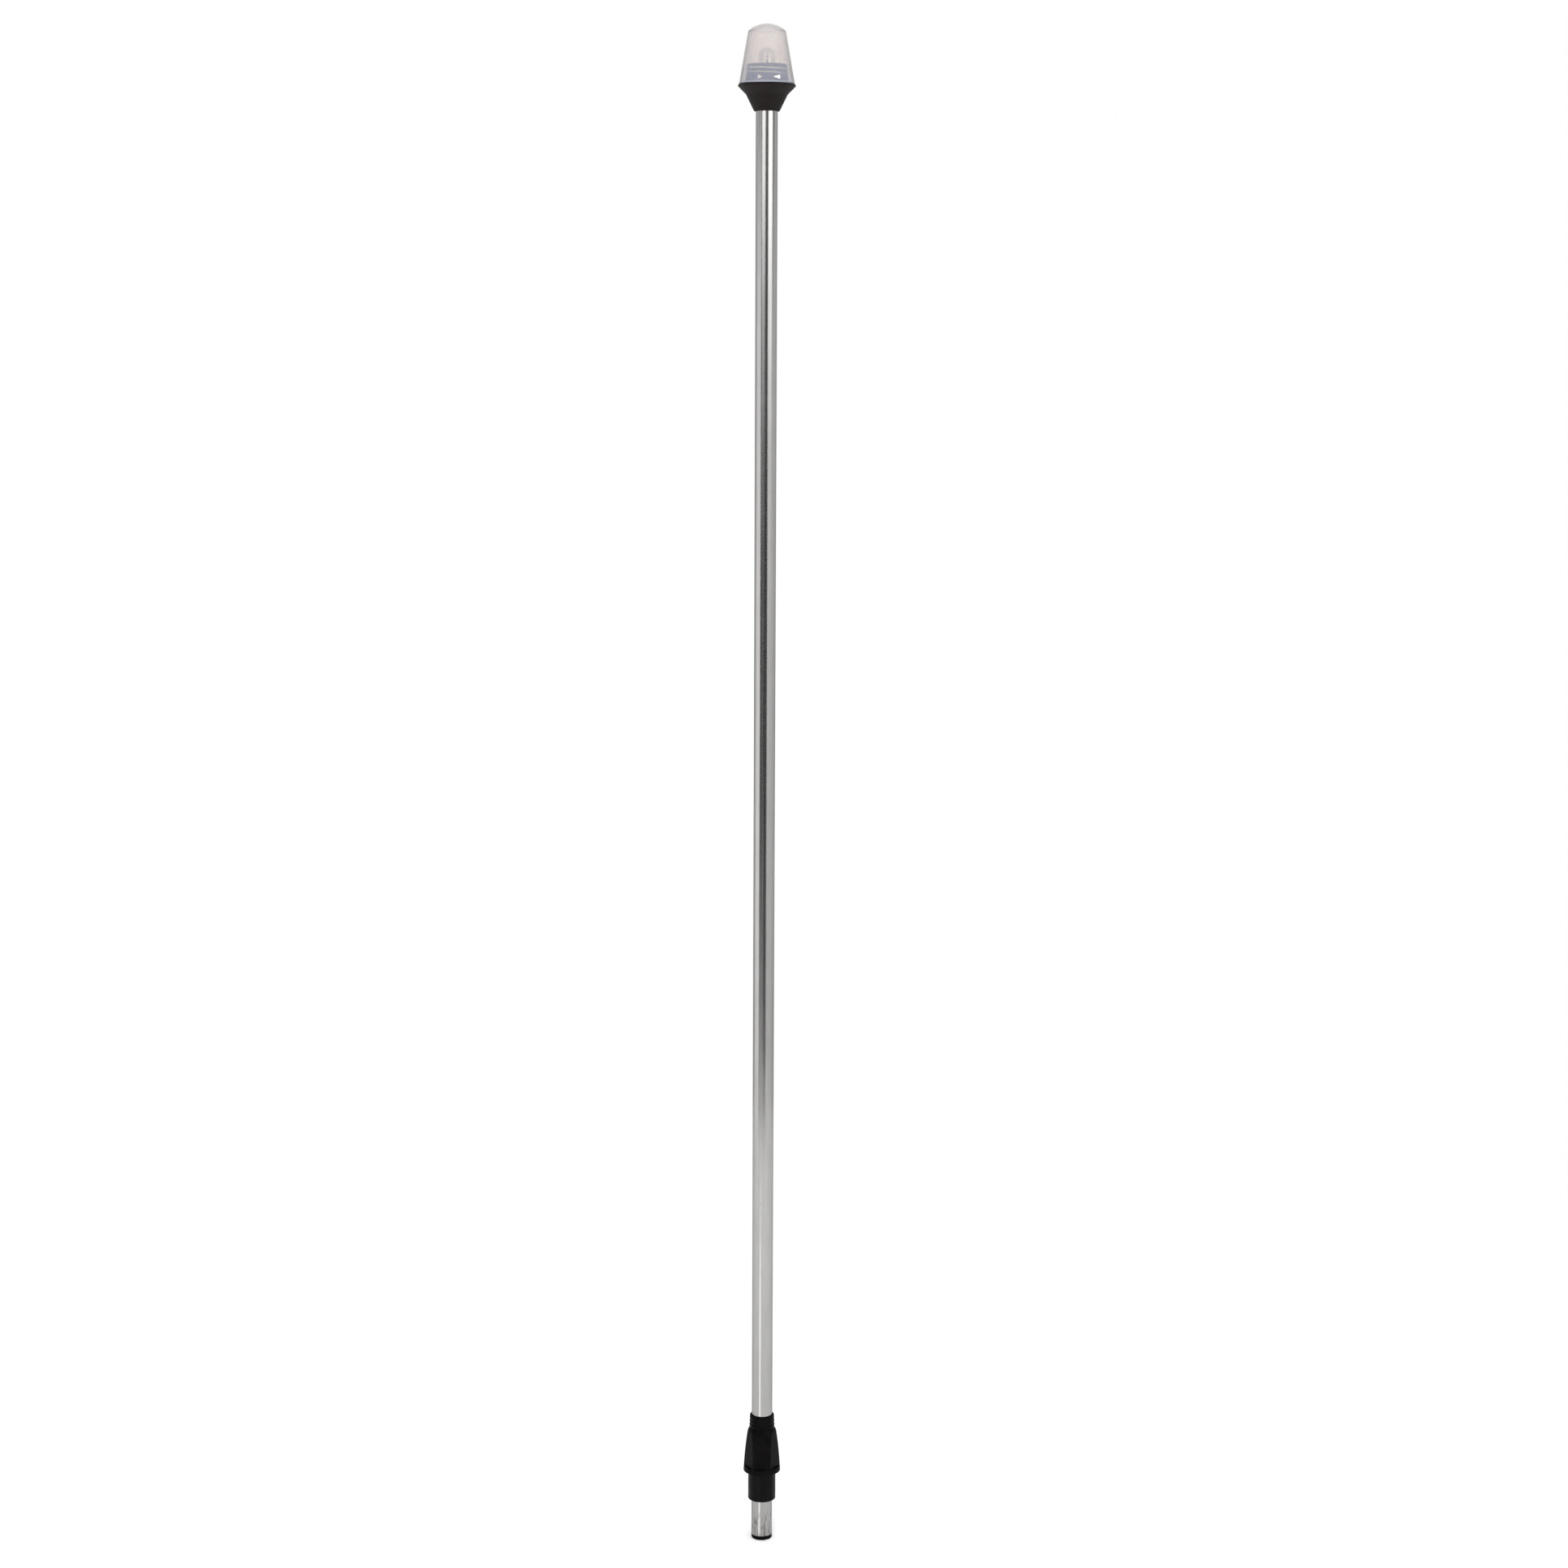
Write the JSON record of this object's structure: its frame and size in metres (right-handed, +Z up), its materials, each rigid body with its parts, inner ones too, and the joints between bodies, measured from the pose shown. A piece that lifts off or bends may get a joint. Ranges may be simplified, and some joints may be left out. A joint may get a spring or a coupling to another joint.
{
  "type": "pole navigation light",
  "caption": "All-round boat light: frosted globe on a funnel housing, long pole with a sliding twist-lock collar and a plug-in end.",
  "frame": {"origin": "centre of the plug's flat lower face", "axes": "+Z up along the pole towards the globe; -Y towards the front, +X to the right seen from the front"},
  "size_m": [0.05, 0.05, 1.3716],
  "materials": {
    "globe_frosted": "frosted translucent, smooth satin",
    "housing_black": "satin black moulding",
    "collar_black": "satin black moulding with a fine grain",
    "sleeve_black": "smooth black moulding",
    "plug_black": "black moulding",
    "pole_aluminium": "bright drawn and anodised, light scuffs at the lower end",
    "rubber_black": "matt rubber",
    "nylon_white": "natural nylon",
    "brass": "plain",
    "steel": "bright",
    "bulb_glass": "clear",
    "bulb_metal": "nickel wire",
    "tungsten": "coiled grey wire",
    "wire_red": "PVC insulation",
    "wire_black": "PVC insulation"
  },
  "bodies": {
    "mast": {"housing": "housing_black", "lamp_socket": "nylon_white", "socket_contact_front": "brass", "socket_contact_rear": "brass", "socket_screws": "steel", "pole_tube": "pole_aluminium", "wire_grommet": "rubber_black", "wire_positive": "wire_red", "wire_negative": "wire_black", "plug_body": "plug_black", "plug_contact_left": "brass", "plug_contact_right": "brass", "plug_seal_ring": "rubber_black", "stop_ring": "steel"},
    "gasket": {"globe_gasket": "rubber_black"},
    "globe": {"globe": "globe_frosted"},
    "bulb": {"bulb_glass": "bulb_glass", "bulb_leads": "bulb_metal", "bulb_filament": "tungsten"},
    "slider": {"guide_bush": "nylon_white", "friction_ring": "rubber_black"},
    "collar": {"lock_sleeve": "sleeve_black", "collar_grip": "collar_black", "grip_retaining_ring": "steel"}
  },
  "joints": [
    {"name": "globe_lift", "type": "slide", "parent": "mast", "child": "gasket", "axis": [0, 0, 1], "range_m": [0, 0.0065]},
    {"name": "globe_turn", "type": "hinge", "parent": "gasket", "child": "globe", "pos_m": [0, 0, 1.33], "axis": [0, 0, 1], "range_deg": [-630, 0]},
    {"name": "bulb_pull", "type": "slide", "parent": "mast", "child": "bulb", "axis": [0, 0, 1], "range_m": [0, 0.0115]},
    {"name": "collar_slide", "type": "slide", "parent": "mast", "child": "slider", "axis": [0, 0, 1], "range_m": [0, 1.178]},
    {"name": "collar_turn", "type": "hinge", "parent": "slider", "child": "collar", "pos_m": [0, 0, 0.09], "axis": [0, 0, 1], "continuous": true}
  ],
  "couplings": [
    {"joint": "globe_lift", "follows": "globe_turn", "m_per_rad": -0.00058887}
  ]
}
